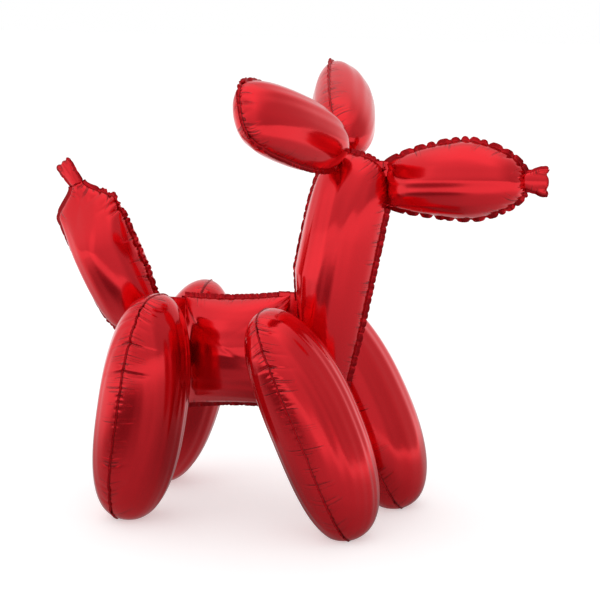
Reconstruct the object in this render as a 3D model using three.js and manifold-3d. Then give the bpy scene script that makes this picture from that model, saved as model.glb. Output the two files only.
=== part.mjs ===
// A standing dog made of four foil balloons. Each balloon is two flat sheets of foil, welded round the
// edge and blown up with air: the torso (tail, body, neck and muzzle in one sheet outline), a pair of
// hind legs, a pair of front legs and a pair of ears. The waist of each leg pair sits under the flat web
// between two torso chambers, and the waist of the ears sits on the back of the head.
// Millimetres, +Z up, +X towards the muzzle, origin on the floor below the middle of the dog.

import * as THREE from "three";
import { mergeVertices } from "three/addons/utils/BufferGeometryUtils.js";
import Module from "manifold-3d";

const wasm = await Module();
wasm.setup();

// Foil and weld
const MARGIN = 8; // width of the welded margin outside the blown foil
const FOIL = 2.4; // thickness that stands for the two welded sheets
const TOUCH_GAP = 0.4; // room kept where two balloons press together
const PUCKER_STEP = 12; // half the way from one pucker to the next along a gathered seam
const PUCKER_DEPTH = 3.2; // how far a pucker draws the seam in

// Body: an upright pillow in the middle plane
const BODY_REAR_X = -207;
const BODY_LENGTH = 199; // along its middle
const BODY_LEVEL = 306; // height of its middle
const BODY_RISE = 16; // how much higher its seams are at the front than at the rear
const BODY_HALF_HEIGHT = 104.5;
const BODY_WAIST_IN = 5; // how far the seams draw in half-way along
const BODY_CORNERS_OUT = [4, 9]; // how far its corners reach past the middle of each end
const BODY_HALF_DEPTH = 64;

// Tail: leans back from the web behind the body
const TAIL_FOOT_BACK = 98.5; // behind the rear end of the body
const TAIL_FOOT_LEVEL = 343;
const TAIL_LENGTH = 290;
const TAIL_LEAN = 25.6; // degrees from upright
const TAIL_FOOT_HALF = 30;
const TAIL_HALF_WIDTH = 64;
// Share of its length where it starts to narrow to the tag
const TAIL_SHOULDER = { front: 0.785, back: 0.83, depth: 0.57 };
const TAIL_HALF_DEPTH = 64;

// Neck: leans forward from the web in front of the body, with the head as its round top
const NECK_FOOT_AHEAD = 39.5; // in front of the front end of the body
const NECK_FOOT_LEVEL = 203;
const NECK_LENGTH = 492;
const NECK_LEAN = 11.7; // degrees from upright
const NECK_FOOT_HALF = 30;
const NECK_HEEL_HALF = 4;
const NECK_HALF_WIDTH = 72;
const NECK_HALF_DEPTH = 66;

// Muzzle: from the front of the head
const MUZZLE_ROOT_AHEAD = 56; // from the top of the neck
const MUZZLE_ROOT_BELOW = 51;
const MUZZLE_LENGTH = 250;
const MUZZLE_RISE = 4.3; // degrees
const MUZZLE_BOW = 5;
const MUZZLE_ROOT_HALF = 36;
const MUZZLE_HALF_HEIGHT = 69;
const MUZZLE_HALF_DEPTH = 60;

// Flattened filling tags at the nose and at the tail tip
const TAG_NECK_DEPTH = 9; // from the middle plane to its face
const TAG_END_DEPTH = 4;
const TAG_OVERLAP = 4; // how far it starts inside its chamber
const NOSE_TAG_LENGTH = 40;
const NOSE_TAG_NECK_HALF = 14;
const NOSE_TAG_END_HALF = 25;
const TAIL_TAG_LENGTH = 50.2;
const TAIL_TAG_NECK_HALF = 12;
const TAIL_TAG_END_HALF = 13;
const TAIL_TAG_LEAN = 38; // degrees from upright

// Flat webs that join the torso chambers, the hind and the front one each with a leg waist under it
const HIND_WEB_BOTTOM = 329;
const HIND_WEB_TOP = 397;
const FRONT_WEB_BOTTOM = 371;
const FRONT_WEB_TOP = 423;
const WEB_HOLD = 14; // how far a web reaches into the chambers that it joins

// Legs. Each stands on the floor at FOOT_OUT from the middle plane, and its top leans back or forward.
const LEG_RADIUS = 86;
const LEG_FLATNESS = 0.96;
const LEG_TOP_OUT = 121;
const FOOT_FLAT_DEPTH = 2.5; // how much of the round foot the floor presses flat
const HIND_TOP_BACK = 6.5; // behind the rear end of the body
const HIND_TOP_LEVEL = { right: 427, left: 406 };
const HIND_STRIDE = { right: -72, left: -120 }; // from the top to the foot, along the dog
const HIND_FOOT_OUT = { right: 122, left: 123 };
const HIND_SWEEP = 9; // degrees that the outer seam points backwards
const HIND_BOW = 4; // how far the blown leg bends forward half-way up
const FRONT_TOP_BACK = 1.5; // behind the front end of the body
const FRONT_TOP_LEVEL = { right: 412, left: 403 };
const FRONT_STRIDE = { right: 168, left: 201 };
const FRONT_FOOT_OUT = { right: 88, left: 117 };
const FRONT_SWEEP = 2;
const FRONT_BOW = 13;

// Flat waists of the leg pairs
const WAIST_HEIGHT = 66;
const WAIST_THICKNESS = 7;
const WAIST_GAP = 3; // room between a leg waist and the web on it
const NOTCH_ROOM = 8; // from an end of the body to the waist beside it

// Ears, from the top of the neck to the tip of the +Y lobe
const EAR_ROOT_BEHIND = 33;
const EAR_ROOT_ABOVE = 10;
const EAR_ROOT_OUT = 16;
const EAR_LENGTH = 284;
const EAR_SPREAD = 71; // degrees out from straight back
const EAR_RISE = 20; // degrees
const EAR_RADIUS = 66;
const EAR_FLATNESS = 0.87;
const EAR_SWEEP = 10;
const EAR_WAIST_HEIGHT = 24;

const RED_FOIL = { color: 0xc4121f, metalness: 0.9, roughness: 0.22 };

// A closed triangle mesh as a solid. Corners in one place are merged and flat triangles dropped.
function solidOf(geometry) {
  const bare = geometry.index ? geometry.toNonIndexed() : geometry.clone();
  bare.deleteAttribute("normal");
  bare.deleteAttribute("uv");
  const merged = mergeVertices(bare, 1e-4);
  const corners = [];
  for (let i = 0; i < merged.index.count; i += 3) {
    const [a, b, c] = [0, 1, 2].map((k) => merged.index.getX(i + k));
    if (a !== b && b !== c && c !== a) corners.push(a, b, c);
  }
  return new wasm.Manifold(
    new wasm.Mesh({
      numProp: 3,
      vertProperties: new Float32Array(merged.attributes.position.array),
      triVerts: new Uint32Array(corners),
    }),
  );
}

function union(solids) {
  return solids.reduce((whole, solid) => whole.add(solid));
}

// Half-width along a chamber: it rises from `root` to `full` at `belly` and falls to `tip`.
// A power of 2 gives an elliptical end, more a squarer one and less a more pointed one.
function swelling({ root = 0, full, tip = 0, belly, rootPower, tipPower }) {
  return (s) => {
    const [edge, share, power] =
      s < belly ? [root, 1 - s / belly, rootPower] : [tip, (s - belly) / (1 - belly), tipPower];
    return edge + (full - edge) * (1 - share ** power) ** (1 / power);
  };
}

// The same, but its far end narrows in a soft shoulder that starts at `shoulder`.
function shouldered({ root, full, tip, belly, rootPower, shoulder }) {
  const blown = swelling({ root, full, tip: full, belly, rootPower, tipPower: 1 });
  return (s) => {
    const drop = Math.max(0, (s - shoulder) / (1 - shoulder));
    return s < shoulder ? blown(s) : tip + ((full - tip) * (1 + Math.cos(Math.PI * drop))) / 2;
  };
}

// Rows along a chamber, evenly spaced on its outline from s = 0 to 1.
function rowShares(length, halfWidth, step) {
  const samples = 600;
  const shares = [];
  const travelled = [0];
  for (let k = 0; k <= samples; k++) {
    const s = (1 - Math.cos((Math.PI * k) / samples)) / 2;
    shares.push(s);
    if (k === 0) continue;
    const before = shares[k - 1];
    const reach = Math.hypot((s - before) * length, halfWidth(s) - halfWidth(before));
    travelled.push(travelled[k - 1] + reach);
  }
  const total = travelled[samples];
  const count = 2 * Math.max(2, Math.round(total / step / 2));
  return Array.from({ length: count + 1 }, (_, i) => {
    const at = (total * i) / count;
    const k = Math.min(Math.max(travelled.findIndex((t) => t >= at - 1e-9), 1), samples);
    const share = Math.min(1, (at - travelled[k - 1]) / (travelled[k] - travelled[k - 1]));
    return shares[k - 1] + (shares[k] - shares[k - 1]) * share;
  });
}

// The outward direction [along, across] of an outline at s. A closed end points straight out.
function outward(length, halfWidth, s) {
  if (halfWidth(s) < 1e-6) return [s < 0.5 ? -1 : 1, 0];
  const [a, b] = [Math.max(0, s - 1e-4), Math.min(1, s + 1e-4)];
  const [run, rise] = [(b - a) * length, halfWidth(b) - halfWidth(a)];
  return [-rise / Math.hypot(run, rise), run / Math.hypot(run, rise)];
}

// One blown chamber between two points. `across` is the way from the axis to its first seam, and
// `backWidth` the half-width on the other side where it differs. `bow` bends the middle of the axis
// across and out of the seams' plane. `cornersOut` draws the corners of each square end out past
// its middle, `gathered` draws puckers into the seams at every second row, and `grow` is a room all round.
function chamber({ from, to, across, halfWidth, backWidth = halfWidth, halfDepth, step, ...more }) {
  const { columns = 6, gathered = 1, margin = MARGIN, grow = 0, bow = [0, 0], cornersOut = [0, 0] } = more;
  const start = new THREE.Vector3(...from);
  const axis = new THREE.Vector3(...to).sub(start);
  const length = axis.length();
  axis.normalize();
  const side = across.clone().addScaledVector(axis, -across.dot(axis)).normalize();
  const out = new THREE.Vector3().crossVectors(axis, side);
  const place = (s, u, v, h) => {
    const bend = 4 * s * (1 - s);
    const towardsEnd = (2 * s - 1) * Math.abs(2 * s - 1);
    const drawn = cornersOut[s < 0.5 ? 0 : 1] * towardsEnd * Math.min(1, (v / halfWidth(s)) ** 2 || 0);
    const point = start.clone().addScaledVector(axis, u + drawn);
    return point.addScaledVector(side, v + bow[0] * bend).addScaledVector(out, h + bow[1] * bend);
  };

  const rows = rowShares(length, halfWidth, step).map((s, i, all) => {
    const closed = halfWidth(s) < 1e-6;
    const u = s * length + (i === 0 ? -grow : i === all.length - 1 ? grow : 0);
    const pinch = i % 2 ? gathered : 0;
    const reach = (margin + grow) * (1 - 0.55 * pinch);
    const depth = halfDepth(s) + grow;
    const drawnBy = (width) => (closed ? 0 : Math.min(pinch * PUCKER_DEPTH, width(s) / 3));
    const half = (width) => width(s) + (closed ? 0 : grow);
    const hem = (width, sign) => {
      const [along, sideways] = outward(length, width, s);
      return place(s, u + reach * along, sign * (half(width) - drawnBy(width) + reach * sideways), 0);
    };
    const sheet = (face) =>
      Array.from({ length: columns + 1 }, (_, j) => {
        const turn = (Math.PI * j) / columns;
        const width = Math.cos(turn) >= 0 ? halfWidth : backWidth;
        const nearSeam = Math.exp(-((Math.sin(turn) / 0.5) ** 2)) * drawnBy(width);
        const v = Math.cos(turn) * (half(width) - nearSeam);
        const h = Math.max(Math.sin(turn) * (depth - nearSeam), FOIL / 2 + grow);
        return place(s, u, v, face * (closed ? FOIL / 2 + grow : h));
      });
    return [hem(halfWidth, 1), ...sheet(1), hem(backWidth, -1), ...sheet(-1).reverse()];
  });

  const position = [];
  const triangle = (...points) => points.forEach((p) => position.push(p.x, p.y, p.z));
  const quad = (a, b, c, d) => {
    triangle(a, b, c);
    triangle(a, c, d);
  };
  for (let i = 1; i < rows.length; i++) {
    rows[i].forEach((_, j, row) => {
      const k = (j + 1) % row.length;
      quad(rows[i - 1][j], rows[i - 1][k], row[k], row[j]);
    });
  }
  const endCap = (row) => {
    const last = row.length - 1;
    triangle(row[0], row[last], row[1]);
    for (let j = 1; j <= columns; j++) quad(row[j], row[last + 1 - j], row[last - j], row[j + 1]);
    triangle(row[columns + 1], row[columns + 3], row[columns + 2]);
  };
  endCap(rows[0]);
  endCap(mirrored(rows[rows.length - 1]));

  const geometry = new THREE.BufferGeometry();
  geometry.setAttribute("position", new THREE.Float32BufferAttribute(position, 3));
  return solidOf(geometry);
}

// The same ring of points, run round the other way from its first hem.
function mirrored(row) {
  return [row[0], ...row.slice(1).reverse()];
}

// A flat plate of welded foil in the upright middle plane, from its [x, z] corners.
function web(corners, grow) {
  const shape = new THREE.Shape(corners.map(([x, z]) => new THREE.Vector2(x, z)));
  const thickness = FOIL + 2 * grow;
  const plate = new THREE.ExtrudeGeometry(shape, { depth: thickness, bevelEnabled: false });
  plate.rotateX(Math.PI / 2).translate(0, thickness / 2, 0);
  return solidOf(plate);
}

// The point of the middle plane at a distance from another, at an angle forward of upright.
function reachFrom([x, , z], distance, lean) {
  const angle = THREE.MathUtils.degToRad(lean);
  return [x + Math.sin(angle) * distance, 0, z + Math.cos(angle) * distance];
}

// The way across a chamber whose seams lie in the middle plane: forward of an upright one.
function acrossInPlane(from, to) {
  const along = new THREE.Vector3(...to).sub(new THREE.Vector3(...from)).normalize();
  return new THREE.Vector3().crossVectors(new THREE.Vector3(0, 1, 0), along);
}

const bodyFrontX = BODY_REAR_X + BODY_LENGTH;
const bodyRear = [BODY_REAR_X, 0, BODY_LEVEL];
const bodyFront = [bodyFrontX, 0, BODY_LEVEL];
const tailFoot = [BODY_REAR_X - TAIL_FOOT_BACK, 0, TAIL_FOOT_LEVEL];
const tailTip = reachFrom(tailFoot, TAIL_LENGTH, -TAIL_LEAN);
const neckFoot = [bodyFrontX + NECK_FOOT_AHEAD, 0, NECK_FOOT_LEVEL];
const neckTop = reachFrom(neckFoot, NECK_LENGTH, NECK_LEAN);
const muzzleRoot = [neckTop[0] + MUZZLE_ROOT_AHEAD, 0, neckTop[2] - MUZZLE_ROOT_BELOW];
const nose = reachFrom(muzzleRoot, MUZZLE_LENGTH, 90 - MUZZLE_RISE);

// A filling tag: it starts inside the end of its chamber and flares from its neck to a flat end.
function tag(end, length, lean, neckHalf, endHalf, grow) {
  const [from, to] = [reachFrom(end, -TAG_OVERLAP, lean), reachFrom(end, length, lean)];
  return chamber({
    from,
    to,
    across: acrossInPlane(from, to),
    halfWidth: (s) => neckHalf + (endHalf - neckHalf) * s ** 1.3,
    halfDepth: (s) => TAG_NECK_DEPTH + (TAG_END_DEPTH - TAG_NECK_DEPTH) * s,
    step: PUCKER_STEP * 0.75,
    margin: MARGIN * 0.75,
    gathered: 0.5,
    grow,
  });
}

function tail(grow) {
  const width = (shoulder) =>
    shouldered({
      root: TAIL_FOOT_HALF,
      full: TAIL_HALF_WIDTH,
      tip: TAIL_TAG_NECK_HALF,
      belly: 0.5,
      rootPower: 2.6,
      shoulder,
    });
  const blown = chamber({
    from: tailFoot,
    to: tailTip,
    across: acrossInPlane(tailFoot, tailTip),
    halfWidth: width(TAIL_SHOULDER.front),
    backWidth: width(TAIL_SHOULDER.back),
    halfDepth: shouldered({
      root: 4,
      full: TAIL_HALF_DEPTH,
      tip: TAG_NECK_DEPTH,
      belly: 0.5,
      rootPower: 2,
      shoulder: TAIL_SHOULDER.depth,
    }),
    step: PUCKER_STEP,
    grow,
  });
  return blown.add(
    tag(tailTip, TAIL_TAG_LENGTH, -TAIL_TAG_LEAN, TAIL_TAG_NECK_HALF, TAIL_TAG_END_HALF, grow),
  );
}

function body(grow) {
  return chamber({
    from: bodyRear,
    to: bodyFront,
    across: acrossInPlane(bodyRear, bodyFront),
    halfWidth: (s) => BODY_HALF_HEIGHT - BODY_WAIST_IN * Math.sin(Math.PI * s) - BODY_RISE * (s - 0.5),
    backWidth: (s) => BODY_HALF_HEIGHT - BODY_WAIST_IN * Math.sin(Math.PI * s) + BODY_RISE * (s - 0.5),
    halfDepth: swelling({ root: 3, full: BODY_HALF_DEPTH, tip: 3, belly: 0.5, rootPower: 2, tipPower: 2 }),
    step: PUCKER_STEP,
    gathered: 0.25,
    cornersOut: BODY_CORNERS_OUT,
    grow,
  });
}

function neck(grow) {
  return chamber({
    from: neckFoot,
    to: neckTop,
    across: acrossInPlane(neckFoot, neckTop),
    halfWidth: swelling({
      root: NECK_FOOT_HALF,
      full: NECK_HALF_WIDTH,
      belly: 0.79,
      rootPower: 4,
      tipPower: 2.7,
    }),
    backWidth: swelling({
      root: NECK_HEEL_HALF,
      full: NECK_HALF_WIDTH,
      belly: 0.53,
      rootPower: 1,
      tipPower: 4,
    }),
    halfDepth: swelling({ root: 3, full: NECK_HALF_DEPTH, belly: 0.7, rootPower: 1.9, tipPower: 2 }),
    step: PUCKER_STEP * 1.5,
    gathered: 0.4,
    grow,
  });
}

function muzzle(grow) {
  const blown = chamber({
    from: muzzleRoot,
    to: nose,
    across: acrossInPlane(muzzleRoot, nose),
    halfWidth: swelling({
      root: MUZZLE_ROOT_HALF,
      full: MUZZLE_HALF_HEIGHT,
      tip: NOSE_TAG_NECK_HALF,
      belly: 0.58,
      rootPower: 1.4,
      tipPower: 1.65,
    }),
    halfDepth: swelling({
      root: 6,
      full: MUZZLE_HALF_DEPTH,
      tip: TAG_NECK_DEPTH,
      belly: 0.6,
      rootPower: 1.8,
      tipPower: 2,
    }),
    step: PUCKER_STEP,
    bow: [-MUZZLE_BOW, 0],
    grow,
  });
  return blown.add(tag(nose, NOSE_TAG_LENGTH, 90, NOSE_TAG_NECK_HALF, NOSE_TAG_END_HALF, grow));
}

function torso(grow = 0) {
  const hindWeb = web(
    [
      [tailFoot[0] + WEB_HOLD, HIND_WEB_BOTTOM],
      [BODY_REAR_X + WEB_HOLD, HIND_WEB_BOTTOM],
      [BODY_REAR_X + WEB_HOLD, HIND_WEB_TOP],
      [tailFoot[0] + WEB_HOLD, HIND_WEB_TOP],
    ],
    grow,
  );
  const frontWeb = web(
    [
      [bodyFrontX - WEB_HOLD, FRONT_WEB_BOTTOM],
      [neckFoot[0] + WEB_HOLD, FRONT_WEB_BOTTOM],
      [neckFoot[0] + WEB_HOLD, FRONT_WEB_TOP],
      [bodyFrontX - WEB_HOLD, FRONT_WEB_TOP],
    ],
    grow,
  );
  const muzzleWebHalf = MUZZLE_ROOT_HALF + MARGIN / 2;
  const muzzleWeb = web(
    [
      [muzzleRoot[0] - 2 * WEB_HOLD, muzzleRoot[2] - muzzleWebHalf],
      [muzzleRoot[0] + WEB_HOLD, muzzleRoot[2] - muzzleWebHalf],
      [muzzleRoot[0] + WEB_HOLD, muzzleRoot[2] + muzzleWebHalf],
      [muzzleRoot[0] - 2 * WEB_HOLD, muzzleRoot[2] + muzzleWebHalf],
    ],
    grow,
  );
  return union([tail(grow), body(grow), neck(grow), muzzle(grow), hindWeb, frontWeb, muzzleWeb]);
}

// The two sides of the dog, as signs of y. It faces +X, so its left is +Y.
const SIDES = { right: -1, left: 1 };

// The way across a lobe of a pair: sideways, swept back by some degrees.
function sideways(sweep, sign) {
  const turn = THREE.MathUtils.degToRad(sweep);
  return new THREE.Vector3(-Math.sin(turn), sign * Math.cos(turn), 0);
}

const floor = (() => {
  const reach = 4 * (TAIL_LENGTH + BODY_LENGTH + NECK_LENGTH);
  const slab = new THREE.BoxGeometry(reach, reach, LEG_RADIUS);
  slab.translate(0, 0, -LEG_RADIUS / 2);
  return solidOf(slab);
})();

function legPair({ topX, topLevel, stride, footOut, sweep, bow, waistX, webBottom }) {
  const waistTop = webBottom - WAIST_GAP;
  const waistMiddle = waistTop - WAIST_HEIGHT / 2;
  const lobes = [];
  const waistEnds = [];
  for (const [name, sign] of Object.entries(SIDES)) {
    const foot = [topX + stride[name], sign * footOut[name], -FOOT_FLAT_DEPTH];
    const top = [topX, sign * LEG_TOP_OUT, topLevel[name]];
    lobes.push(
      chamber({
        from: foot,
        to: top,
        across: sideways(sweep, sign),
        halfWidth: swelling({ full: LEG_RADIUS, belly: 0.47, rootPower: 2.5, tipPower: 2.8 }),
        halfDepth: swelling({
          full: LEG_RADIUS * LEG_FLATNESS,
          belly: 0.5,
          rootPower: 2.6,
          tipPower: 2.2,
        }),
        step: PUCKER_STEP * 1.9,
        gathered: 0.35,
        bow: [0, -sign * bow],
      }),
    );
    waistEnds.push(foot[1] + ((top[1] - foot[1]) * waistMiddle) / top[2]);
  }
  const waist = new THREE.BoxGeometry(WAIST_THICKNESS, waistEnds[1] - waistEnds[0], WAIST_HEIGHT);
  waist.translate(waistX, (waistEnds[0] + waistEnds[1]) / 2, waistMiddle);
  return union([...lobes, solidOf(waist)]).subtract(floor);
}

function hindLegs() {
  return legPair({
    topX: BODY_REAR_X - HIND_TOP_BACK,
    topLevel: HIND_TOP_LEVEL,
    stride: HIND_STRIDE,
    footOut: HIND_FOOT_OUT,
    sweep: HIND_SWEEP,
    bow: HIND_BOW,
    waistX: BODY_REAR_X - NOTCH_ROOM - WAIST_THICKNESS / 2,
    webBottom: HIND_WEB_BOTTOM,
  });
}

function frontLegs() {
  return legPair({
    topX: bodyFrontX - FRONT_TOP_BACK,
    topLevel: FRONT_TOP_LEVEL,
    stride: FRONT_STRIDE,
    footOut: FRONT_FOOT_OUT,
    sweep: FRONT_SWEEP,
    bow: FRONT_BOW,
    waistX: bodyFrontX + NOTCH_ROOM + WAIST_THICKNESS / 2,
    webBottom: FRONT_WEB_BOTTOM,
  });
}

function ears() {
  const [spread, rise] = [EAR_SPREAD, EAR_RISE].map(THREE.MathUtils.degToRad);
  const [rootX, rootZ] = [neckTop[0] - EAR_ROOT_BEHIND, neckTop[2] + EAR_ROOT_ABOVE];
  const lobe = (sign) => {
    const root = [rootX, sign * EAR_ROOT_OUT, rootZ];
    const flat = EAR_LENGTH * Math.cos(rise);
    const tip = [
      root[0] - flat * Math.cos(spread),
      root[1] + sign * flat * Math.sin(spread),
      root[2] + EAR_LENGTH * Math.sin(rise),
    ];
    return chamber({
      from: root,
      to: tip,
      across: sideways(EAR_SWEEP, sign),
      halfWidth: swelling({ full: EAR_RADIUS, belly: 0.54, rootPower: 2.4, tipPower: 3.3 }),
      halfDepth: swelling({ full: EAR_RADIUS * EAR_FLATNESS, belly: 0.51, rootPower: 2.7, tipPower: 2.1 }),
      step: PUCKER_STEP,
      gathered: 0.6,
    });
  };
  const waist = new THREE.BoxGeometry(MARGIN, 2 * EAR_ROOT_OUT + 2 * MARGIN, EAR_WAIST_HEIGHT);
  waist.translate(rootX - MARGIN / 2, 0, rootZ + MARGIN);
  return union([lobe(1), lobe(-1), solidOf(waist)]);
}

function meshOf(name, solid) {
  const { vertProperties, triVerts } = solid.getMesh();
  const geometry = new THREE.BufferGeometry();
  geometry.setAttribute("position", new THREE.BufferAttribute(new Float32Array(vertProperties), 3));
  geometry.setIndex(new THREE.BufferAttribute(new Uint32Array(triVerts), 1));
  geometry.computeVertexNormals();
  const mesh = new THREE.Mesh(geometry, new THREE.MeshStandardMaterial(RED_FOIL));
  mesh.name = name;
  return mesh;
}

// The torso with the room that a balloon pressed against it keeps.
const pressedRoom = torso(TOUCH_GAP);
const dog = new THREE.Group();
dog.add(meshOf("torso_balloon", torso()));
dog.add(meshOf("hind_leg_balloon", hindLegs().subtract(pressedRoom)));
dog.add(meshOf("front_leg_balloon", frontLegs().subtract(pressedRoom)));
dog.add(meshOf("ear_balloon", ears().subtract(pressedRoom)));

export default dog;
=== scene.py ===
import math

import bmesh
import bpy
import numpy as np
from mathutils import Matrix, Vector
from mathutils.bvhtree import BVHTree


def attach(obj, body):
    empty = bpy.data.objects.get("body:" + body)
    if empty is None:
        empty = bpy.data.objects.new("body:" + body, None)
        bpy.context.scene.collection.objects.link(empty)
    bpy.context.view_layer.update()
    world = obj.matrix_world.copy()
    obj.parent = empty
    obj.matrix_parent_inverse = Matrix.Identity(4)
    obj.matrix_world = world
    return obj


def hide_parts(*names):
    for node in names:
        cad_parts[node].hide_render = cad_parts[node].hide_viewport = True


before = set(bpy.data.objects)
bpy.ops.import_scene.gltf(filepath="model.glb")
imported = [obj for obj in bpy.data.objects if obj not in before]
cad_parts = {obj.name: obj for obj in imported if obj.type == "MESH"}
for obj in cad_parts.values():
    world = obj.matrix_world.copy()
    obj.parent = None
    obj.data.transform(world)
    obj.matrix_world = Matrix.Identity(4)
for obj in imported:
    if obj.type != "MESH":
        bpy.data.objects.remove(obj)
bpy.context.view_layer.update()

# Camera
# The dog is seen from its right side, turned 20 degrees towards its face and from a little above,
# with a long lens from three and a half metres away.
aim = Vector((0.0197, 0.0, 0.4108))
turned, raised, away = math.radians(20), math.radians(11.865), 3.472
back = Vector(
    (math.sin(turned) * math.cos(raised), -math.cos(turned) * math.cos(raised), math.sin(raised))
)
camera_data = bpy.data.cameras.new("camera")
camera_data.lens = 113.35
camera_data.sensor_width = 36
camera_data.clip_end = 60
camera = bpy.data.objects.new("camera", camera_data)
bpy.context.scene.collection.objects.link(camera)
camera.location = aim + back * away
camera.rotation_euler = (-back).to_track_quat("-Z", "Y").to_euler()
bpy.context.scene.camera = camera

# Red foil
# Thin plastic film with a mirror of aluminium on its back and clear red ink over it. Short creases run
# in from each seam, the welded rim is duller, and painted shade darkens the seam line, folds, creases and rim.
foil = bpy.data.materials.new("red_foil")
foil.use_nodes = True
nodes, links = foil.node_tree.nodes, foil.node_tree.links
nodes.clear()
surface = nodes.new("ShaderNodeOutputMaterial")
film = nodes.new("ShaderNodeBsdfPrincipled")
film.inputs["Metallic"].default_value = 0.88
film.inputs["Specular Tint"].default_value = (1.0, 0.72, 0.74, 1)
film.inputs["Coat Roughness"].default_value = 0.12
film.inputs["Coat IOR"].default_value = 1.5
links.new(film.outputs["BSDF"], surface.inputs["Surface"])
place = nodes.new("ShaderNodeTexCoord")
fold_depth = nodes.new("ShaderNodeAttribute")
fold_depth.attribute_name = "fold"
welded = nodes.new("ShaderNodeAttribute")
welded.attribute_name = "weld"
seam_place = nodes.new("ShaderNodeAttribute")
seam_place.attribute_name = "seam"
from_seam = nodes.new("ShaderNodeSeparateXYZ")
links.new(seam_place.outputs["Vector"], from_seam.inputs["Vector"])


def ranged(value, low, high, to_low, to_high):
    node = nodes.new("ShaderNodeMapRange")
    node.interpolation_type = "SMOOTHSTEP"
    for name, number in zip(("From Min", "From Max", "To Min", "To Max"), (low, high, to_low, to_high)):
        node.inputs[name].default_value = number
    links.new(value, node.inputs["Value"])
    return node.outputs["Result"]


def combined(kind, first, second):
    node = nodes.new("ShaderNodeMath")
    node.operation = kind
    for socket, value in zip(node.inputs, (first, second)):
        if isinstance(value, float):
            socket.default_value = value
        else:
            links.new(value, socket)
    return node.outputs["Value"]


def noise(source, scale, detail, kind="3D"):
    node = nodes.new("ShaderNodeTexNoise")
    node.noise_dimensions = kind
    node.inputs["Scale"].default_value = scale
    node.inputs["Detail"].default_value = detail
    links.new(source, node.inputs["W" if kind == "1D" else "Vector"])
    return node


# Fine creases: lines across the seam, at uneven steps along it and of uneven length.
crease_steps = noise(from_seam.outputs["X"], 115.0, 1.0, "1D")
crease_reach = noise(from_seam.outputs["X"], 34.0, 2.0, "1D")
line_at = combined("ABSOLUTE", combined("SUBTRACT", crease_steps.outputs["Fac"], 0.5), 0.0)
line_share = ranged(line_at, 0.0, 0.03, 1.0, 0.0)
reach_share = ranged(crease_reach.outputs["Fac"], 0.36, 0.66, 0.004, 0.042)
inside_share = ranged(combined("DIVIDE", from_seam.outputs["Y"], reach_share), 0.5, 1.0, 1.0, 0.0)
fine_creases = combined("MULTIPLY", line_share, inside_share)
seam_line = ranged(from_seam.outputs["Y"], 0.0006, 0.0028, 1.0, 0.0)

# The red, uneven in slow patches, with painted shade in folds, in creases, at the seam and on the rim.
ink_patches = noise(place.outputs["Object"], 6.0, 3.0)
ink = nodes.new("ShaderNodeValToRGB")
ink.color_ramp.elements[0].position = 0.3
ink.color_ramp.elements[0].color = (0.76, 0.0048, 0.0125, 1)
ink.color_ramp.elements[1].position = 0.75
ink.color_ramp.elements[1].color = (0.84, 0.0075, 0.0185, 1)
links.new(ink_patches.outputs["Fac"], ink.inputs["Fac"])
# Painted shade: a dark red mixed into the ink, as much as the fold, crease, seam and rim masks say.
ink_with_painted_shade = nodes.new("ShaderNodeMix")
ink_with_painted_shade.data_type = "RGBA"
ink_with_painted_shade.inputs["B"].default_value = (0.12, 0.0008, 0.002, 1)
fold_shade = ranged(fold_depth.outputs["Fac"], 0.45, 1.5, 0.0, 0.75)
crease_shade = combined("MULTIPLY", fine_creases, 0.58)
seam_shade = combined("MULTIPLY", seam_line, 0.9)
rim_shade = combined("MULTIPLY", welded.outputs["Fac"], 0.42)
wall_shade = combined("MAXIMUM", fold_shade, crease_shade)
edge_shade = combined("MAXIMUM", seam_shade, rim_shade)
shade = combined("MAXIMUM", wall_shade, edge_shade)
links.new(shade, ink_with_painted_shade.inputs["Factor"])
links.new(ink.outputs["Color"], ink_with_painted_shade.inputs["A"])
links.new(ink_with_painted_shade.outputs["Result"], film.inputs["Base Color"])

gloss_patches = noise(place.outputs["Object"], 22.0, 4.0)
gloss = ranged(gloss_patches.outputs["Fac"], 0.2, 0.8, 0.13, 0.21)
duller = combined("MULTIPLY", welded.outputs["Fac"], 0.14)
links.new(combined("ADD", gloss, duller), film.inputs["Roughness"])
links.new(ranged(welded.outputs["Fac"], 0.0, 1.0, 0.5, 0.1), film.inputs["Coat Weight"])

crinkle = noise(place.outputs["Object"], 60.0, 3.0)
crinkle.inputs["Distortion"].default_value = 0.6
crinkle_share = ranged(welded.outputs["Fac"], 0.0, 1.0, 0.06, 0.35)
crinkle_height = combined("MULTIPLY", crinkle.outputs["Fac"], crinkle_share)
relief = nodes.new("ShaderNodeBump")
relief.inputs["Strength"].default_value = 0.6
relief.inputs["Distance"].default_value = 0.002
links.new(combined("SUBTRACT", crinkle_height, fine_creases), relief.inputs["Height"])
links.new(relief.outputs["Normal"], film.inputs["Normal"])

# Torso balloon
# Tail, body, neck and muzzle, blown up between two sheets of foil that are cut from one outline. The
# sheets are welded in a flat rim all round, which gathers into small folds as the chambers fill. Flat
# welded webs part the chambers, and a flattened filling tag ends the tail and the muzzle.
MM = 0.001
FINE = 2.7  # size of the mesh on the foil, in mm
RIM = 8.0  # width of the welded rim
STATIONS = 600  # steps along a chamber's length in its flat pattern
SPARSE = 3  # every so many stations is enough to find the nearest seam
TURN = 6.28
WAVES = 7  # slow waves that make a chamber's wall uneven
FOLD_WIDTH = 0.12  # width of a fold in a gather, as a share of the pitch
SWAY = 0.5  # how far a fold pulls the seam to one side, as a share
RIM_SWAY = 0.35  # how much further it pulls the rim's edge
SWAY_REACH = 7.0
END_SHARE = 0.07  # share of the length on which the rim narrows towards an end
NARROW = 60  # chambers with less half-width than this have shorter fine creases
CREASE_SHIFT = 57  # keeps two chambers from having the same fine creases
TOUCHING = 0.02


def bulge(share, power):
    return np.maximum(0, 1 - np.abs(share) ** power) ** (1 / power)


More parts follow.
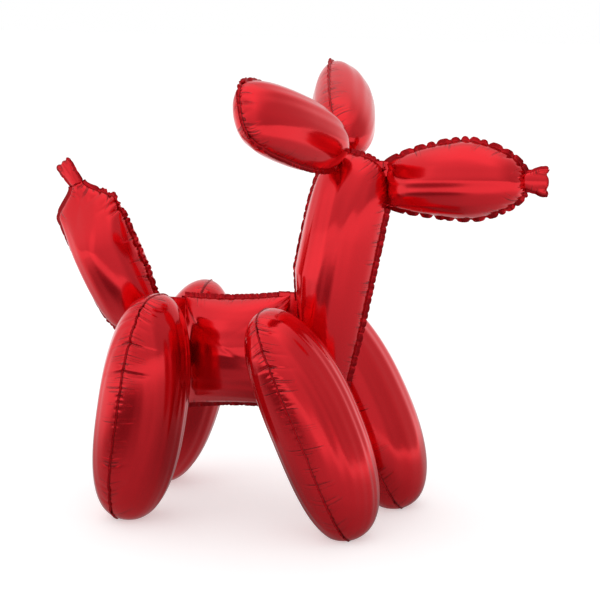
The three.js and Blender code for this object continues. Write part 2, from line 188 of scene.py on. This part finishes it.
def swelling(root, full, tip, belly, root_power, tip_power):
    """Half-width along a chamber that is fullest at the belly."""

    def half(s):
        low = root + (full - root) * bulge(1 - s / belly, root_power)
        high = tip + (full - tip) * bulge((s - belly) / (1 - belly), tip_power)
        return np.where(s < belly, low, high)

    return half


def shouldered(root, full, tip, belly, root_power, shoulder):
    """The same, but full up to a shoulder and then drawn in to the tip."""
    blown = swelling(root, full, full, belly, root_power, 1)

    def half(s):
        drop = np.maximum(0, (s - shoulder) / (1 - shoulder))
        return np.where(s < shoulder, blown(s), tip + (full - tip) * (1 + np.cos(math.pi * drop)) / 2)

    return half


def quarter_round(a, b):
    """Length of a quarter of an ellipse, which is how wide the sheet lies flat."""
    h = ((a - b) / np.maximum(a + b, 1e-9)) ** 2
    return math.pi / 4 * (a + b) * (1 + 3 * h / (10 + np.sqrt(4 - 3 * h)))


def stroll(points):
    """A line through the points, by the share of its length."""
    reach = np.concatenate([[0], np.cumsum(np.linalg.norm(np.diff(points, axis=0), axis=1))])
    return lambda t: np.stack([np.interp(t * reach[-1], reach, points[:, k]) for k in (0, 1)], axis=-1)


def new_balloon():
    bm = bmesh.new()
    bm.verts.layers.float.new("weld")
    bm.verts.layers.float.new("fold")
    bm.verts.layers.float_vector.new("seam")
    return bm


def blow(
    bm, start, end, across, front, deep, back_half=None, bow=(0, 0), corners_out=(0, 0),
    rim=RIM, end_rims=1.0, gathers=(), folds=(), seed=1, uneven=0.5, lean=0,
):
    """Adds one blown chamber, from two square grids laid on the flat pattern of its sheets.

    A gather is a row of folds at uneven steps: seam, from, to, pitch, depth and reach. A fold is
    seam or end, place, depth, reach, width and slant. The seams are 1 and -1, with places along the
    length, and the ends are foot and head, with places across.
    """
    weld_share, fold_share = bm.verts.layers.float["weld"], bm.verts.layers.float["fold"]
    seam_spot = bm.verts.layers.float_vector["seam"]
    rng = np.random.default_rng(seed)
    rear = back_half or front
    start, end = np.array(start, float), np.array(end, float)
    length = np.linalg.norm(end - start)
    along = (end - start) / length
    side = np.array(across, float)
    side -= along * side.dot(along)
    side /= np.linalg.norm(side)
    out = np.cross(along, side)

    # The flat pattern: how far each station lies along the sheet, and how far its seams lie out.
    stations = (1 - np.cos(np.linspace(0, math.pi, STATIONS + 1))) / 2
    depth = deep(stations)
    run = np.concatenate([[0], np.cumsum(np.hypot(np.diff(stations) * length, np.diff(depth)))])
    edge = {1: quarter_round(front(stations), depth), -1: -quarter_round(rear(stations), depth)}
    sides = {sg: np.column_stack([run, edge[sg]]) for sg in edge}

    def corner(sg, first):
        points = sides[sg]
        k = 0 if first else STATIONS
        if abs(edge[1][k]) > 1:
            return k
        order = range(1, STATIONS) if first else range(STATIONS - 1, 0, -1)
        for k in order:
            step = points[k + 1] - points[k - 1]
            if abs(step[1]) < abs(step[0]):
                return k

    foot = {sg: corner(sg, True) for sg in sides}
    head = {sg: corner(sg, False) for sg in sides}
    low = stroll(np.concatenate([sides[-1][: foot[-1] + 1][::-1], sides[1][: foot[1] + 1]]))
    high = stroll(np.concatenate([sides[-1][head[-1] :], sides[1][head[1] :][::-1]]))
    left = stroll(sides[-1][foot[-1] : head[-1] + 1])
    right = stroll(sides[1][foot[1] : head[1] + 1])
    columns = max(6, round(2 * edge[1].max() / FINE))
    rows = max(6, round(run[-1] / FINE))
    x, y = np.meshgrid(np.linspace(0, 1, columns + 1), np.linspace(0, 1, rows + 1))
    x, y = x[..., None], y[..., None]
    flat = (
        (1 - y) * low(x[..., 0]) + y * high(x[..., 0])
        + (1 - x) * left(y[..., 0]) + x * right(y[..., 0])
    )
    flat -= (1 - y) * ((1 - x) * low(0.0) + x * low(1.0)) + y * ((1 - x) * high(0.0) + x * high(1.0))

    # The blown form: each flat point is laid on the ellipse of its station.
    s = np.interp(flat[..., 0], run, stations)
    seams_out = np.interp(s, stations, edge[1]), -np.interp(s, stations, edge[-1])
    seam_out = np.where(flat[..., 1] > 0, *seams_out)
    t = np.clip(flat[..., 1] / np.maximum(seam_out, 1e-6), -1, 1)
    bound = np.zeros(s.shape, bool)
    bound[0], bound[-1], bound[:, 0], bound[:, -1] = True, True, True, True
    t = np.where(bound & (np.abs(t) > 0.6), np.sign(t), t)
    turn = (1 - t) * math.pi / 2
    sideways = np.where(t > 0, front(s), rear(s)) * np.cos(turn)
    rise = np.where(bound, 0.5, np.maximum(deep(s) * np.sin(turn), 0.5))
    bend = 4 * s * (1 - s)
    towards_end = (2 * s - 1) * np.abs(2 * s - 1)
    off_middle = np.minimum(1, (sideways / np.maximum(front(s), 1)) ** 2)
    drawn = np.where(s < 0.5, *corners_out) * towards_end * off_middle
    spine = (
        start
        + along * (s * length + drawn)[..., None]
        + side * (sideways + bow[0] * bend)[..., None]
    )

    # Where each flat point lies along the nearest seam, and how far in from it.
    seams = np.concatenate([sides[sg][::SPARSE] for sg in (1, -1)])
    ways = np.concatenate([np.gradient(sides[sg][::SPARSE], axis=0) for sg in (1, -1)])
    ways /= np.linalg.norm(ways, axis=1, keepdims=True)
    seam_runs = np.concatenate([run[::SPARSE], run[::SPARSE] + 2 * run[-1]])
    apart = flat[:, :, None, :] - seams
    nearest = (apart**2).sum(axis=-1).argmin(axis=-1)
    apart = np.take_along_axis(apart, nearest[..., None, None], axis=2)[:, :, 0]
    tangents = ways[nearest]
    past = (apart * tangents).sum(axis=-1)
    seam_along = seam_runs[nearest] + past * tangents[..., 0]
    seam_in = np.linalg.norm(apart - past[..., None] * tangents, axis=-1)
    seam_turn = math.tan(math.radians(lean)) * np.where(nearest < len(run[::SPARSE]), 1, -1)
    narrow = max(1, NARROW / edge[1].max())

    # Folds: each starts at the seam and runs inwards, deepest and narrowest at the seam.
    pleats = [[], []]
    for sg, s0, s1, pitch, deepest, reach in gathers:
        first, last = np.interp([s0, s1], stations, run)
        arc = np.concatenate([[0], np.cumsum(np.linalg.norm(np.diff(sides[sg], axis=0), axis=1))])
        at = np.interp(s0, stations, arc)
        stop = np.interp(s1, stations, arc)
        while True:
            at += pitch * rng.uniform(0.65, 1.35)
            if at > stop:
                break
            share = np.interp(at, arc, stations)
            draws = [(reach * rng.uniform(0.45, 1.3), rng.uniform(-6, 6)) for _ in pleats]
            strength, flip = rng.uniform(0.55, 1.15), rng.choice([-1, 1])
            width = pitch * FOLD_WIDTH
            for sheet, (inwards, slant) in zip(pleats, draws):
                sheet.append((sg, share, deepest, inwards, width, slant, strength, flip))
    for sg, share, deepest, reach, width, slant in folds:
        flip = rng.choice([-1, 1])
        for sheet in pleats:
            sheet.append((sg, share, deepest, reach, width, slant, 1.0, flip))

    def folded(sheet, points):
        """How deep the folds sink each point, how far they sway it, and how sharp they are there."""
        sunk, swayed, creased = np.zeros((3, *points.shape[:-1]))
        for sg, share, deepest, reach, width, slant, strength, flip in sheet:
            if sg in sides:
                k = int(np.clip(np.searchsorted(stations, share), 1, STATIONS - 1))
                at = np.array([np.interp(share, stations, run), np.interp(share, stations, edge[sg])])
                tangent = sides[sg][k + 1] - sides[sg][k - 1]
                inward = np.array([tangent[1], -tangent[0]]) * sg
            else:
                k = 0 if sg == "foot" else STATIONS
                at = np.array([run[k], edge[-1][k] + (edge[1][k] - edge[-1][k]) * share])
                inward = np.array([1.0 if k == 0 else -1.0, 0.0])
            inward /= np.linalg.norm(inward)
            cos, sin = math.cos(math.radians(slant)), math.sin(math.radians(slant))
            inward = np.array([inward[0] * cos - inward[1] * sin, inward[0] * sin + inward[1] * cos])
            off = points - at
            inside = off @ inward
            beside = np.abs(off @ np.array([-inward[1], inward[0]]))
            part = np.clip(inside / reach, 0, 1)
            fade = (1 - part) ** 0.9 * np.exp(-np.maximum(-inside, 0) / width)
            drop = strength * deepest * fade * np.exp(-((beside / (width * (1 + 0.8 * part))) ** 1.25))
            sunk += drop
            creased += drop / width
            swayed += flip * strength * deepest * np.exp(-((np.hypot(inside, beside) / (2.2 * width + 2)) ** 2))
        return sunk, swayed, creased

    # Slow waves nearly along the chamber: height, length, breadth, start and which way they drift.
    waves = [
        (
            rng.uniform(0.5, 1.3),
            rng.uniform(1800, 5000),
            rng.uniform(18, 64),
            rng.uniform(0, TURN),
            rng.choice([-1, 1]),
        )
        for _ in range(WAVES)
    ]
    new = []
    for face, sheet in zip((1, -1), pleats):
        for k, (sg, share, deepest, reach, width, slant, strength, flip) in enumerate(sheet):
            reach = reach if face > 0 else reach * rng.uniform(0.7, 1.2)
            slant = slant if sg in ("foot", "head") else slant + face * lean
            sheet[k] = (sg, share, deepest, reach, width, slant, strength, flip)
        grid = bmesh.ops.create_grid(bm, x_segments=columns + 2, y_segments=rows + 2, size=1)["verts"]
        where = {}
        for v in grid:
            where[round((v.co.x + 1) / 2 * (columns + 2)), round((v.co.y + 1) / 2 * (rows + 2))] = v
        base = spine + out * (face * rise + bow[1] * bend)[..., None]
        down = np.gradient(base, axis=0)
        over = np.gradient(base, axis=1)
        normal = np.cross(over, down) * face
        normal /= np.maximum(np.linalg.norm(normal, axis=-1, keepdims=True), 1e-12)
        if (normal * out).sum() * face < 0:
            normal = -normal
        sunk, swayed, creased = folded(sheet, flat)
        ticks = seam_along - face * seam_turn * seam_in
        swell = np.zeros(s.shape)
        for height, long_wave, cross_wave, phase, way in waves:
            lengthwise = flat[..., 0] / long_wave * TURN * way
            crosswise = flat[..., 1] / cross_wave * TURN
            swell += height * np.sin(lengthwise + crosswise + phase + face)
        calm = np.sin(np.clip(turn, 0, math.pi)) * np.clip(np.minimum(s, 1 - s) * 6, 0, 1)
        moved = base + normal * (uneven * 0.35 * swell * calm)[..., None]

        # The seam itself: drawn in at each fold and swayed to one side, then the flat rim outside it.
        loop = [(0, i) for i in range(columns)] + [(j, columns) for j in range(rows)]
        loop += [(rows, i) for i in range(columns, 0, -1)] + [(j, 0) for j in range(rows, 0, -1)]
        ring = spine + out * (bow[1] * bend)[..., None]
        line = np.array([ring[j, i] for j, i in loop])
        step = np.roll(line, -1, axis=0) - line
        step /= np.maximum(np.linalg.norm(step, axis=1, keepdims=True), 1e-9)
        leg_out = np.cross(step, out)
        middle = line.mean(axis=0)
        if ((line - middle) * leg_out).sum() < 0:
            leg_out = -leg_out
        before = np.roll(leg_out, 1, axis=0)
        point_out = leg_out + before
        point_out /= np.maximum(np.linalg.norm(point_out, axis=1, keepdims=True), 0.5)
        point_out *= 1.0 / np.maximum((point_out * leg_out).sum(axis=1, keepdims=True), 0.6)
        outwards = dict(zip(loop, point_out))
        edge_before, edge_after = dict(zip(loop, before)), dict(zip(loop, leg_out))
        hem = {}
        for (j, i), vector in outwards.items():
            inwards, sway = vector * -sunk[j, i], out * (SWAY * swayed[j, i])
            moved[j, i] = base[j, i] + (inwards + sway)
            seam = ring[j, i] + inwards + sway
            from_end = min(1, s[j, i] / END_SHARE, (1 - s[j, i]) / END_SHARE)
            wide = rim * (1 - 0.06 * min(sunk[j, i], 4)) * (end_rims + (1 - end_rims) * from_end)
            hem[j, i] = (seam, vector, wide, out * (RIM_SWAY * swayed[j, i]))
        near = np.exp(-(1 - np.abs(t)) * np.maximum(seam_out, 1) / SWAY_REACH)
        inner = ~bound
        swaying = out * (SWAY * swayed * near)[inner][:, None]
        moved[inner] += -normal[inner] * sunk[inner][:, None] + swaying

        for (i, j), v in where.items():
            jj, ii = min(max(j - 1, 0), rows), min(max(i - 1, 0), columns)
            if i in (0, columns + 2) or j in (0, rows + 2):
                seam, vector, wide, sway = hem[jj, ii]
                at_corner = jj in (0, rows) and ii in (0, columns)
                if at_corner and not (i in (0, columns + 2) and j in (0, rows + 2)):
                    on_end = j in (0, rows + 2)
                    first_is_end = (jj, ii) in ((rows, columns), (0, 0))
                    vector = edge_after[jj, ii] if on_end == first_is_end else edge_before[jj, ii]
                v.co = Vector(seam + vector * wide + sway)
                v[weld_share] = 1.0
                v[seam_spot] = (0, 1, 0)
            else:
                v.co = Vector(moved[jj, ii])
                v[weld_share] = 1.0 if bound[jj, ii] else 0.0
                v[fold_share] = creased[jj, ii]
                tick = ticks[jj, ii] + CREASE_SHIFT * seed
                v[seam_spot] = (tick * MM, seam_in[jj, ii] * narrow * MM, 0)
        new += grid
    rims = [v for v in new if v[weld_share] > 0.5]
    bmesh.ops.remove_doubles(bm, verts=rims, dist=TOUCHING)
    return [v for v in new if v.is_valid]


def reach_from(point, distance, lean):
    turn = math.radians(lean)
    return np.array(point) + distance * np.array([math.sin(turn), 0, math.cos(turn)])


def in_plane(start, end):
    return np.cross([0, 1, 0], np.array(end) - np.array(start))


def finish_balloon(bm, name):
    bmesh.ops.recalc_face_normals(bm, faces=bm.faces)
    bmesh.ops.scale(bm, vec=(MM, MM, MM), verts=bm.verts)
    mesh = bpy.data.meshes.new(name)
    bm.to_mesh(mesh)
    for polygon in mesh.polygons:
        polygon.use_smooth = True
    mesh.materials.append(foil)
    piece = bpy.data.objects.new(name, mesh)
    bpy.context.scene.collection.objects.link(piece)
    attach(piece, "root")
    return piece


torso = new_balloon()
body_rear, body_front = (-207, 0, 306), (-8, 0, 306)
tail_foot = (-305.5, 0, 343)
tail_tip = reach_from(tail_foot, 290, -25.6)
neck_foot = (31.5, 0, 203)
neck_top = reach_from(neck_foot, 492, 11.7)
muzzle_root = (neck_top[0] + 56, 0, neck_top[2] - 51)
nose = reach_from(muzzle_root, 250, 90 - 4.3)

blow(
    torso,
    tail_foot,
    tail_tip,
    in_plane(tail_foot, tail_tip),
    shouldered(30, 64, 12, 0.5, 2.6, 0.785),
    shouldered(4, 64, 9, 0.5, 2, 0.52),
    back_half=shouldered(30, 64, 12, 0.5, 2.6, 0.83),
    gathers=[
        (1, 0.02, 0.9, 15, 3.8, 15),
        (-1, 0.05, 0.9, 26, 1.2, 20),
        (-1, 0.0, 0.16, 12, 3.0, 24),
    ],
    folds=[
        (1, 0.74, 4.5, 44, 3.2, 8),
        (1, 0.79, 4.0, 50, 3.4, 14),
        (1, 0.845, 4.5, 46, 3.4, 20),
        (1, 0.895, 4.0, 56, 3.6, 30),
        ("head", 0.25, 1.8, 120, 4.5, -14),
        ("head", 0.75, 1.8, 140, 4.5, 16),
        ("foot", 0.3, 3.0, 70, 5.0, -12),
        ("foot", 0.7, 3.0, 80, 5.0, 12),
    ],
    seed=11,
)
blow(
    torso,
    body_rear,
    body_front,
    in_plane(body_rear, body_front),
    lambda s: 104.5 - 5 * np.sin(math.pi * s) - 16 * (s - 0.5),
    swelling(3, 64, 3, 0.5, 2, 2),
    back_half=lambda s: 104.5 - 5 * np.sin(math.pi * s) + 16 * (s - 0.5),
    corners_out=(4, 9),
    gathers=[(1, 0.03, 0.97, 10, 1.3, 16), (-1, 0.03, 0.97, 10, 1.5, 16)],
    folds=[
        ("foot", 0.04, 2.2, 150, 2.2, 37),
        ("foot", 0.09, 1.9, 170, 2.4, 27),
        ("foot", 0.15, 1.6, 150, 2.6, 18),
        ("foot", 0.22, 1.2, 110, 3.0, 10),
        ("foot", 0.93, 2.0, 80, 6.0, -30),
        ("head", 0.04, 2.6, 120, 2.4, -37),
        ("head", 0.09, 2.2, 140, 2.6, -27),
        ("head", 0.16, 1.8, 120, 2.8, -17),
        ("head", 0.93, 2.4, 80, 6.0, 30),
    ],
    seed=12,
)
blow(
    torso,
    neck_foot,
    neck_top,
    in_plane(neck_foot, neck_top),
    swelling(30, 72, 0, 0.79, 4, 2.7),
    swelling(3, 66, 0, 0.7, 1.9, 2),
    back_half=swelling(4, 72, 0, 0.53, 1, 4),
    gathers=[
        (1, 0.03, 0.86, 13, 1.9, 14),
        (-1, 0.3, 0.9, 17, 1.6, 12),
        (1, 0.86, 1.0, 12, 2.5, 30),
        (-1, 0.9, 1.0, 12, 2.5, 30),
    ],
    seed=13,
    uneven=0.7,
)
blow(
    torso,
    muzzle_root,
    nose,
    in_plane(muzzle_root, nose),
    swelling(36, 69, 14, 0.58, 1.4, 1.65),
    swelling(6, 60, 9, 0.6, 1.8, 2),
    bow=(-5, 0),
    gathers=[(1, 0.04, 0.995, 24, 4.8, 20), (-1, 0.04, 0.995, 24, 4.8, 20)],
    folds=[
        ("head", 0.1, 2.6, 30, 2.4, 14),
        ("head", 0.35, 2.6, 34, 2.4, 5),
        ("head", 0.65, 2.6, 34, 2.4, -5),
        ("head", 0.9, 2.6, 30, 2.4, -14),
        ("foot", 0.2, 3.6, 50, 5.0, -6),
        ("foot", 0.5, 3.6, 60, 5.0, 0),
        ("foot", 0.8, 3.6, 50, 5.0, 6),
    ],
    seed=14,
)

# The filling tags of the muzzle and the tail, then the three flat webs between the chambers.
for end, reach, lean, neck_half, end_half, seed in (
    (nose, 40, 90, 13, 27, 15),
    (tail_tip, 50.2, -38, 11, 16, 16),
):
    tag_start, tag_end = reach_from(end, -4, lean), reach_from(end, reach, lean)
    blow(
        torso,
        tag_start,
        tag_end,
        in_plane(tag_start, tag_end),
        lambda s, neck_half=neck_half, end_half=end_half: (
            neck_half + (end_half - neck_half) * s**1.3 - 5 * np.clip((s - 0.75) / 0.25, 0, 1) ** 2
        ),
        lambda s: 9 - 5 * s,
        rim=5,
        end_rims=0.5,
        gathers=[(1, 0.1, 0.9, 17, 1.4, 9), (-1, 0.1, 0.9, 17, 1.4, 9)],
        folds=[("head", 0.3, 4.5, 38, 3.2, 4), ("head", 0.7, 4.0, 38, 3.2, -4)],
        seed=seed,
    )
head_side, jaw = neck_top[0] + 26, muzzle_root[2]
for start, end, low_edge, high_edge, seed in (
    (-291.5, -193, 329, 397, 17),
    (-22, 45.5, 371, 423, 18),
    (head_side, muzzle_root[0] + 16, jaw - 40, jaw + 40, 19),
):
    blow(
        torso,
        (start, 0, (low_edge + high_edge) / 2),
        (end, 0, (low_edge + high_edge) / 2),
        (0, 0, 1),
        lambda s, half=(high_edge - low_edge) / 2: half + 0 * s,
        lambda s: 1.2 + 0 * s,
        rim=2,
        folds=[("foot", 0.3, 0.8, 50, 4, 4), ("head", 0.6, 0.8, 50, 4, -4)],
        seed=seed,
        uneven=0,
    )
torso_shape = BVHTree.FromBMesh(torso)
piece = finish_balloon(torso, "torso")
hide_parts("torso_balloon")


# Hind leg balloon
# Both hind legs are one balloon with a narrow flat waist, which sits in the notch under the web
# between the tail and the body, so that each leg is pressed flat where it touches them.
LEG_HALF = 86
LEG_TOP_OUT = 121
FOOT_SUNK = 2.5  # how far the round foot would reach below the floor, which presses it flat
WEB_GAP = 3
WAIST_HALF = 33
SKIN_GAP = 0.5
PAST_MIDDLE = 20
OUTSIDE = 400


def press(lobe, sign):
    """Moves what lies inside the torso sideways out to its wall, and lifts what is under the floor."""
    for v in lobe:
        outside = Vector((v.co.x, sign * OUTSIDE, v.co.z))
        wall = torso_shape.ray_cast(outside, Vector((0, -sign, 0)))[0]
        if wall is not None and -PAST_MIDDLE < v.co.y * sign < wall.y * sign + SKIN_GAP:
            v.co.y = wall.y + sign * SKIN_GAP
        v.co.z = max(v.co.z, 0)


def leg_pair(
    name, node, top_x, tops, strides, outs, sweep, bow, waist_x, web_low, gathers, folds, lean, seed
):
    pair = new_balloon()
    ends = []
    middle = web_low - WEB_GAP - WAIST_HALF
    for k, sign in ((0, -1), (1, 1)):
        foot = (top_x + strides[k], sign * outs[k], -FOOT_SUNK)
        top = (top_x, sign * LEG_TOP_OUT, tops[k])
        turn = math.radians(sweep)
        lobe = blow(
            pair,
            foot,
            top,
            (-math.sin(turn), sign * math.cos(turn), 0),
            swelling(0, LEG_HALF, 0, 0.47, 2.5, 2.8),
            swelling(0, LEG_HALF * 0.96, 0, 0.5, 2.6, 2.2),
            rim=5,
            bow=(0, -sign * bow),
            gathers=gathers,
            folds=folds,
            seed=seed + k,
            uneven=0.8,
            end_rims=0.35,
            lean=lean,
        )
        press(lobe, sign)
        ends.append(foot[1] + (top[1] - foot[1]) * middle / top[2])
    blow(
        pair,
        (waist_x, ends[0], middle),
        (waist_x, ends[1], middle),
        (0, 0, 1),
        lambda s: 26 + 60 * (s - 0.5) ** 2,
        lambda s: 3 + 0 * s,
        rim=3,
        gathers=[(1, 0.1, 0.9, 14, 1.5, 20), (-1, 0.1, 0.9, 14, 1.5, 20)],
        seed=seed + 5,
        uneven=0,
    )
    piece = finish_balloon(pair, name)
    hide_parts(node)


leg_pair(
    "hind_legs",
    "hind_leg_balloon",
    top_x=-213.5,
    tops=(427, 406),
    strides=(-72, -120),
    outs=(122, 123),
    sweep=9,
    bow=4,
    waist_x=-218.5,
    web_low=329,
    gathers=[(1, 0.02, 0.98, 13, 0.9, 12), (-1, 0.02, 0.98, 13, 0.9, 12)],
    folds=[
        (1, 0.97, 2.4, 36, 1.5, 0),
        (1, 0.935, 2.4, 44, 1.5, 0),
        (1, 0.90, 1.6, 36, 1.5, 2),
        (1, 0.824, 2.9, 58, 1.5, 0),
        (1, 0.70, 2.7, 54, 1.5, -2),
        (1, 0.28, 2.0, 42, 1.4, 2),
        (1, 0.167, 2.2, 46, 1.5, 0),
        (1, 0.097, 2.0, 40, 1.5, 0),
    ],
    lean=13,
    seed=21,
)

# Front leg balloon
# Both front legs, made as the hind ones are. The waist sits under the web between the body and the
# neck, and the filled legs bend a little forward half-way up.
leg_pair(
    "front_legs",
    "front_leg_balloon",
    top_x=-9.5,
    tops=(412, 403),
    strides=(168, 201),
    outs=(88, 117),
    sweep=2,
    bow=13,
    waist_x=3.5,
    web_low=371,
    gathers=[
        (1, 0.02, 0.98, 13, 0.9, 12),
        (-1, 0.02, 0.98, 13, 0.9, 12),
        (1, 0.62, 0.78, 9, 0.9, 22),
    ],
    folds=[
        (1, 0.955, 2.2, 34, 1.5, 0),
        (1, 0.87, 2.4, 44, 1.4, 0),
        (1, 0.806, 2.4, 50, 1.4, 2),
        (1, 0.22, 1.8, 30, 1.4, 2),
        (1, 0.168, 1.8, 30, 1.4, 0),
        (1, 0.078, 2.2, 40, 1.5, 0),
    ],
    lean=-8,
    seed=31,
)

# Ear balloon
# Both ears are one balloon too. Its waist is folded over the back of the head, and the two blunt
# lobes point out sideways and upwards.
EAR_LENGTH = 284
EAR_HALF = 66
EAR_RISE = math.radians(20)
EAR_BACK = math.radians(71)
ears = new_balloon()
ear_root_x, ear_root_z = neck_top[0] - 33, neck_top[2] + 10
flat_reach = EAR_LENGTH * math.cos(EAR_RISE)
for sign in (-1, 1):
    root = (ear_root_x, sign * 16, ear_root_z)
    tip = (
        root[0] - flat_reach * math.cos(EAR_BACK),
        root[1] + sign * flat_reach * math.sin(EAR_BACK),
        root[2] + EAR_LENGTH * math.sin(EAR_RISE),
    )
    turn = math.radians(10)
    lobe = blow(
        ears,
        root,
        tip,
        (-math.sin(turn), sign * math.cos(turn), 0),
        swelling(0, EAR_HALF, 0, 0.54, 2.4, 3.3),
        swelling(0, EAR_HALF * 0.87, 0, 0.51, 2.7, 2.1),
        gathers=[
            (1, 0.05, 0.85, 12, 0.9, 12),
            (-1, 0.05, 0.85, 12, 1.1, 14),
            (1, 0.8, 1.0, 15, 1.8, 22),
            (-1, 0.8, 1.0, 15, 1.8, 22),
        ],
        seed=41 + sign,
        uneven=0.8,
    )
    press(lobe, sign)
blow(
    ears,
    (ear_root_x - 4, -24, ear_root_z + 8),
    (ear_root_x - 4, 24, ear_root_z + 8),
    (0, 0, 1),
    lambda s: 9 + 12 * (s - 0.5) ** 2,
    lambda s: 3 + 0 * s,
    rim=2,
    seed=45,
    uneven=0,
)
piece = finish_balloon(ears, "ears")
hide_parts("ear_balloon")

# Studio
# A pale floor in a bright white room, with a broad soft glow overhead and a soft panel on the left.
# The room is dimmer low down on the viewer's side and to the right. In the foil's mirror the floor
# is a glow of painted shade: darker near the dog, as its shadow, and darkest in a patch in front of it
# on the left.
world = bpy.data.worlds.new("white_room")
bpy.context.scene.world = world
world.use_nodes = True
nodes, links = world.node_tree.nodes, world.node_tree.links
nodes.clear()
sky = nodes.new("ShaderNodeOutputWorld")
seen = nodes.new("ShaderNodeBackground")
seen.inputs["Color"].default_value = (1, 1, 1, 1)
lit = nodes.new("ShaderNodeBackground")
which = nodes.new("ShaderNodeLightPath")
either = nodes.new("ShaderNodeMixShader")
direction = nodes.new("ShaderNodeTexCoord")
towards = nodes.new("ShaderNodeVectorMath")
towards.operation = "DOT_PRODUCT"
towards.inputs[1].default_value = (0.75 * math.sin(turned), -0.75 * math.cos(turned), -0.9)
room = nodes.new("ShaderNodeValToRGB")
room.color_ramp.elements[0].position = 0.42  # share of the way down and towards the viewer
room.color_ramp.elements[0].color = (1.0, 1.0, 1.0, 1)
room.color_ramp.elements[1].position = 0.86
room.color_ramp.elements[1].color = (0.66, 0.66, 0.67, 1)
spread_out = nodes.new("ShaderNodeMapRange")
spread_out.inputs["From Min"].default_value = -1.0
links.new(direction.outputs["Generated"], towards.inputs[0])
links.new(towards.outputs["Value"], spread_out.inputs["Value"])
links.new(spread_out.outputs["Result"], room.inputs["Fac"])
rightwards = nodes.new("ShaderNodeVectorMath")
rightwards.operation = "DOT_PRODUCT"
rightwards.inputs[1].default_value = (0.93, 0.1, 0.3)
dimmer_right = ranged(rightwards.outputs["Value"], 0.45, 0.9, 0.86, 0.54)
links.new(direction.outputs["Generated"], rightwards.inputs[0])
links.new(dimmer_right, lit.inputs["Strength"])
links.new(room.outputs["Color"], lit.inputs["Color"])
links.new(which.outputs["Is Camera Ray"], either.inputs["Fac"])
links.new(lit.outputs["Background"], either.inputs[1])
links.new(seen.outputs["Background"], either.inputs[2])
links.new(either.outputs["Shader"], sky.inputs["Surface"])

for name, spot, facing, size, glow in (
    ("panel_overhead", (0.0, -0.2, 3.4), (0, 0, 0.4), (6.0, 5.0), 0.3),
    ("panel_left", (-0.85, -1.0, 0.85), (0, 0, 0.85), (0.7, 1.9), 0.2),
):
    light = bpy.data.lights.new(name, "AREA")
    light.shape = "RECTANGLE"
    light.size, light.size_y = size
    light.energy = glow * math.pi * size[0] * size[1]
    light.use_nodes = True
    nodes, links = light.node_tree.nodes, light.node_tree.links
    spot_on = nodes.new("ShaderNodeNewGeometry")
    across = nodes.new("ShaderNodeSeparateXYZ")
    links.new(spot_on.outputs["Parametric"], across.inputs["Vector"])
    from_middle = [
        combined("ABSOLUTE", combined("SUBTRACT", across.outputs[axis], 0.5), 0.0) for axis in ("X", "Y")
    ]
    fades = [ranged(distance, 0.15, 0.5, 1.0, 0.0) for distance in from_middle]
    links.new(combined("MULTIPLY", *fades), nodes["Emission"].inputs["Strength"])
    lamp = bpy.data.objects.new(name, light)
    bpy.context.scene.collection.objects.link(lamp)
    lamp.location = spot
    lamp.rotation_euler = (Vector(facing) - Vector(spot)).to_track_quat("-Z", "Y").to_euler()
    lamp.visible_camera = False

ground = bmesh.new()
bmesh.ops.create_grid(ground, x_segments=1, y_segments=1, size=12)
floor_mesh = bpy.data.meshes.new("floor")
ground.to_mesh(floor_mesh)
floor = bpy.data.objects.new("floor", floor_mesh)
bpy.context.scene.collection.objects.link(floor)
pale = bpy.data.materials.new("pale_floor")
pale.use_nodes = True
nodes, links = pale.node_tree.nodes, pale.node_tree.links
pale_film = nodes["Principled BSDF"]
pale_film.inputs["Base Color"].default_value = (0.8, 0.8, 0.8, 1)
pale_film.inputs["Roughness"].default_value = 0.9
pale_film.inputs["Specular IOR Level"].default_value = 0.1
pale_film.inputs["Emission Color"].default_value = (1, 1, 1, 1)
pale_film.inputs["Emission Strength"].default_value = 0.45
FLOOR_REACH = 4.0  # metres from the dog's middle that the darker floor fades over
# Painted shade: glossy rays see the floor glow darker near the dog, darkest in a patch front left of it.
ground_place = nodes.new("ShaderNodeTexCoord")
far_out = nodes.new("ShaderNodeVectorMath")
far_out.operation = "LENGTH"
run_out = nodes.new("ShaderNodeMapRange")
run_out.inputs["From Max"].default_value = FLOOR_REACH
floor_shade_ramp = nodes.new("ShaderNodeValToRGB")
shade_greys = ((0.1, 0.18), (0.4, 0.42), (0.9, 0.57), (1.6, 0.9), (2.2, 1.0))
for k, (at, grey) in enumerate(shade_greys):
    stop = floor_shade_ramp.color_ramp.elements[k] if k < 2 else floor_shade_ramp.color_ramp.elements.new(1)
    stop.position = at / FLOOR_REACH
    stop.color = (grey, grey, grey, 1)
to_shade_patch = nodes.new("ShaderNodeVectorMath")
to_shade_patch.operation = "DISTANCE"
to_shade_patch.inputs[1].default_value = (-0.6, -1.15, 0)
painted_floor_shade = nodes.new("ShaderNodeEmission")
links.new(ground_place.outputs["Object"], to_shade_patch.inputs[0])
links.new(ranged(to_shade_patch.outputs["Value"], 0.35, 1.1, 0.2, 1.0), painted_floor_shade.inputs["Strength"])
links.new(ground_place.outputs["Object"], far_out.inputs[0])
links.new(far_out.outputs["Value"], run_out.inputs["Value"])
links.new(run_out.outputs["Result"], floor_shade_ramp.inputs["Fac"])
links.new(floor_shade_ramp.outputs["Color"], painted_floor_shade.inputs["Color"])
# Camera and diffuse rays see the pale floor, glossy rays see its painted shade.
seen_by = nodes.new("ShaderNodeLightPath")
chosen = nodes.new("ShaderNodeMixShader")
links.new(seen_by.outputs["Is Glossy Ray"], chosen.inputs["Fac"])
links.new(pale_film.outputs["BSDF"], chosen.inputs[1])
links.new(painted_floor_shade.outputs["Emission"], chosen.inputs[2])
links.new(chosen.outputs["Shader"], nodes["Material Output"].inputs["Surface"])
floor_mesh.materials.append(pale)
floor.location.z = -0.0005  # half a millimetre under the feet

bpy.context.scene.view_settings.view_transform = "Standard"
